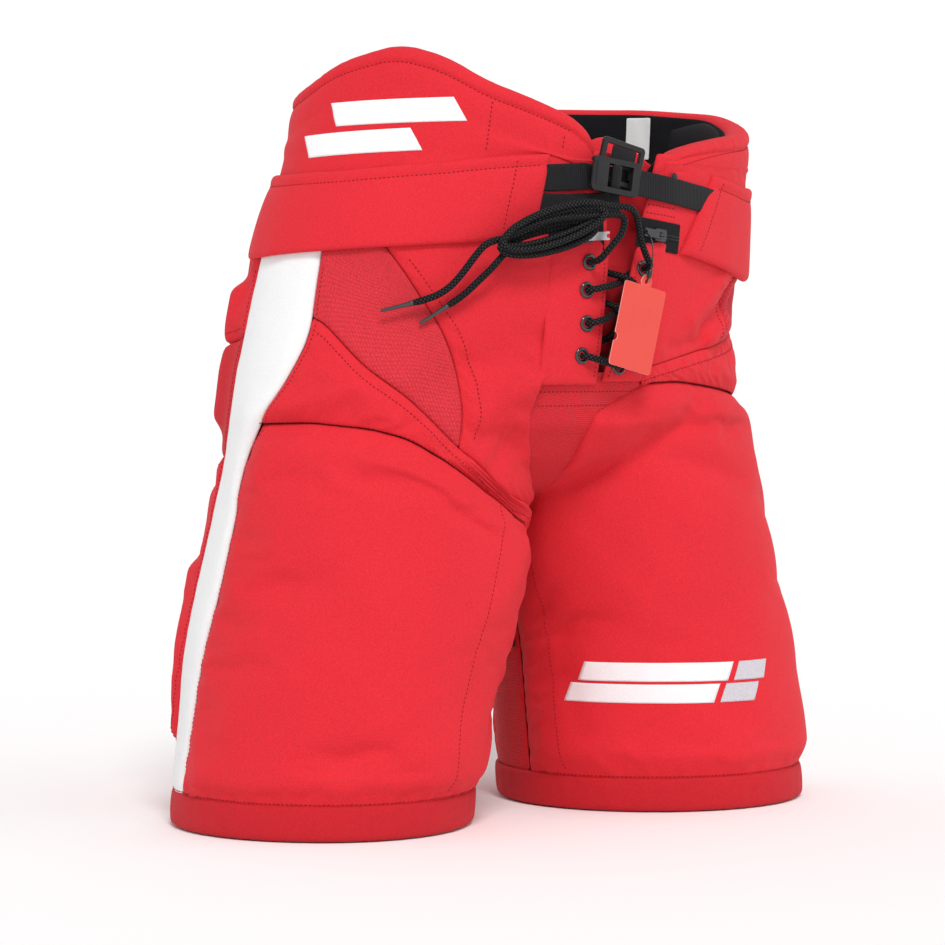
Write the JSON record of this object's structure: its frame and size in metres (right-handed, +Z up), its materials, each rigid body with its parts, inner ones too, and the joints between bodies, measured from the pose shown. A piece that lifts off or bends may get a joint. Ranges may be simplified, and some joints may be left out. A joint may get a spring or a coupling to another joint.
{
  "type": "ice hockey pants",
  "caption": "Padded ice hockey pants with laced fly, belt tunnels with a hook buckle, kidney-pad collar, mesh vents and flexing legs.",
  "frame": {"origin": "on the floor, at the middle of the outline that the standing pants cover", "axes": "+Z up; the wearer's front faces -Y and the wearer's left is +X"},
  "size_m": [0.528, 0.2961, 0.5609],
  "materials": {
    "shell_red": "matte",
    "hem_red": "matte",
    "mesh_red": "matte",
    "stripe_white": "matte",
    "lining_black": "matte",
    "foam_grey": "matte",
    "guard_plastic": "matte",
    "webbing_black": "satin",
    "buckle_black": "satin",
    "eyelet_black": "satin",
    "zipper_black": "satin",
    "zipper_metal": "satin",
    "lace_black": "satin",
    "aglet_plastic": "gloss",
    "tag_card": "satin",
    "string_plastic": "gloss",
    "label_white": "matte"
  },
  "bodies": {
    "waist": {"belt_stud": "buckle_black", "belt_tunnel_left": "shell_red", "belt_tunnel_right": "shell_red", "belt_webbing_left": "webbing_black", "belt_webbing_right": "webbing_black", "buckle_loop_half": "buckle_black", "care_label": "label_white", "collar_left": "shell_red", "collar_lining": "lining_black", "collar_right": "shell_red", "fly_eyelets": "eyelet_black", "fly_lace": "lace_black", "fly_placket_left": "shell_red", "fly_placket_right": "shell_red", "fly_tongue": "shell_red", "front_vent_left": "mesh_red", "front_vent_right": "mesh_red", "groin_gusset": "shell_red", "hip_pad_left": "foam_grey", "hip_pad_right": "foam_grey", "hip_stripes": "stripe_white", "kidney_flap_left": "lining_black", "kidney_pad_left": "foam_grey", "kidney_pad_right": "foam_grey", "lace_aglets": "aglet_plastic", "lace_hank": "lace_black", "lace_tail_lower": "lace_black", "lace_tail_upper": "lace_black", "pelvis_front_left": "shell_red", "pelvis_front_right": "shell_red", "seat_gusset_left": "shell_red", "seat_gusset_right": "shell_red", "seat_panel": "shell_red", "tailbone_pad": "foam_grey", "waist_lining": "lining_black", "zipper_tape_left": "zipper_black", "zipper_tape_right": "zipper_black"},
    "leg_right": {"thigh_panel_right": "shell_red", "inner_panel_right": "shell_red", "back_thigh_panel_right": "shell_red", "side_stripe_panel_right": "stripe_white", "hem_band_right": "hem_red", "leg_lining_right": "lining_black", "thigh_foam_right": "foam_grey", "thigh_guard_right": "guard_plastic"},
    "leg_left": {"thigh_panel_left": "shell_red", "inner_panel_left": "shell_red", "back_thigh_panel_left": "shell_red", "side_stripe_panel_left": "stripe_white", "hem_band_left": "hem_red", "leg_lining_left": "lining_black", "thigh_foam_left": "foam_grey", "thigh_guard_left": "guard_plastic"},
    "slider_right": {"zipper_slider_right": "zipper_metal"},
    "slider_left": {"zipper_slider_left": "zipper_metal"},
    "pull_right": {"zipper_pull_right": "zipper_metal"},
    "pull_left": {"zipper_pull_left": "zipper_metal"},
    "hook_half": {"buckle_hook_half": "buckle_black"},
    "tag": {"hang_tag": "tag_card", "tag_string": "string_plastic"}
  },
  "joints": [
    {"name": "right_hip_flex", "type": "hinge", "parent": "waist", "child": "leg_right", "pos_m": [0, -0.003, 0.3], "axis": [-1, 0, 0], "range_deg": [-10, 30], "deforming": ["front_vent_right", "seat_gusset_right", "groin_gusset"]},
    {"name": "left_hip_flex", "type": "hinge", "parent": "waist", "child": "leg_left", "pos_m": [0, -0.003, 0.3], "axis": [-1, 0, 0], "range_deg": [-10, 30], "deforming": ["front_vent_left", "seat_gusset_left", "groin_gusset"]},
    {"name": "buckle_hook_swing", "type": "hinge", "parent": "waist", "child": "hook_half", "pos_m": [-0.01182, -0.1323, 0.47114], "axis": [-0.1392, 0, -0.9903], "range_deg": [0, 55]},
    {"name": "right_zipper_slide", "type": "slide", "parent": "waist", "child": "slider_right", "axis": [-0.9943, 0.0973, -0.0432], "range_m": [0, 0.02]},
    {"name": "right_pull_lift", "type": "hinge", "parent": "slider_right", "child": "pull_right", "pos_m": [-0.01536, -0.12889, 0.42527], "axis": [0.043, -0.0042, -0.9991], "range_deg": [0, 18]},
    {"name": "left_zipper_slide", "type": "slide", "parent": "waist", "child": "slider_left", "axis": [0.982, 0.1437, -0.1227], "range_m": [0, 0.014]},
    {"name": "left_pull_lift", "type": "hinge", "parent": "slider_left", "child": "pull_left", "pos_m": [0.05428, -0.1265, 0.4273], "axis": [0.1214, 0.0178, 0.9924], "range_deg": [0, 45]},
    {"name": "tag_swing", "type": "hinge", "parent": "pull_left", "child": "tag", "pos_m": [0.0371, -0.12901, 0.42945], "axis": [0, -1, 0], "range_deg": [-15, 20]}
  ]
}
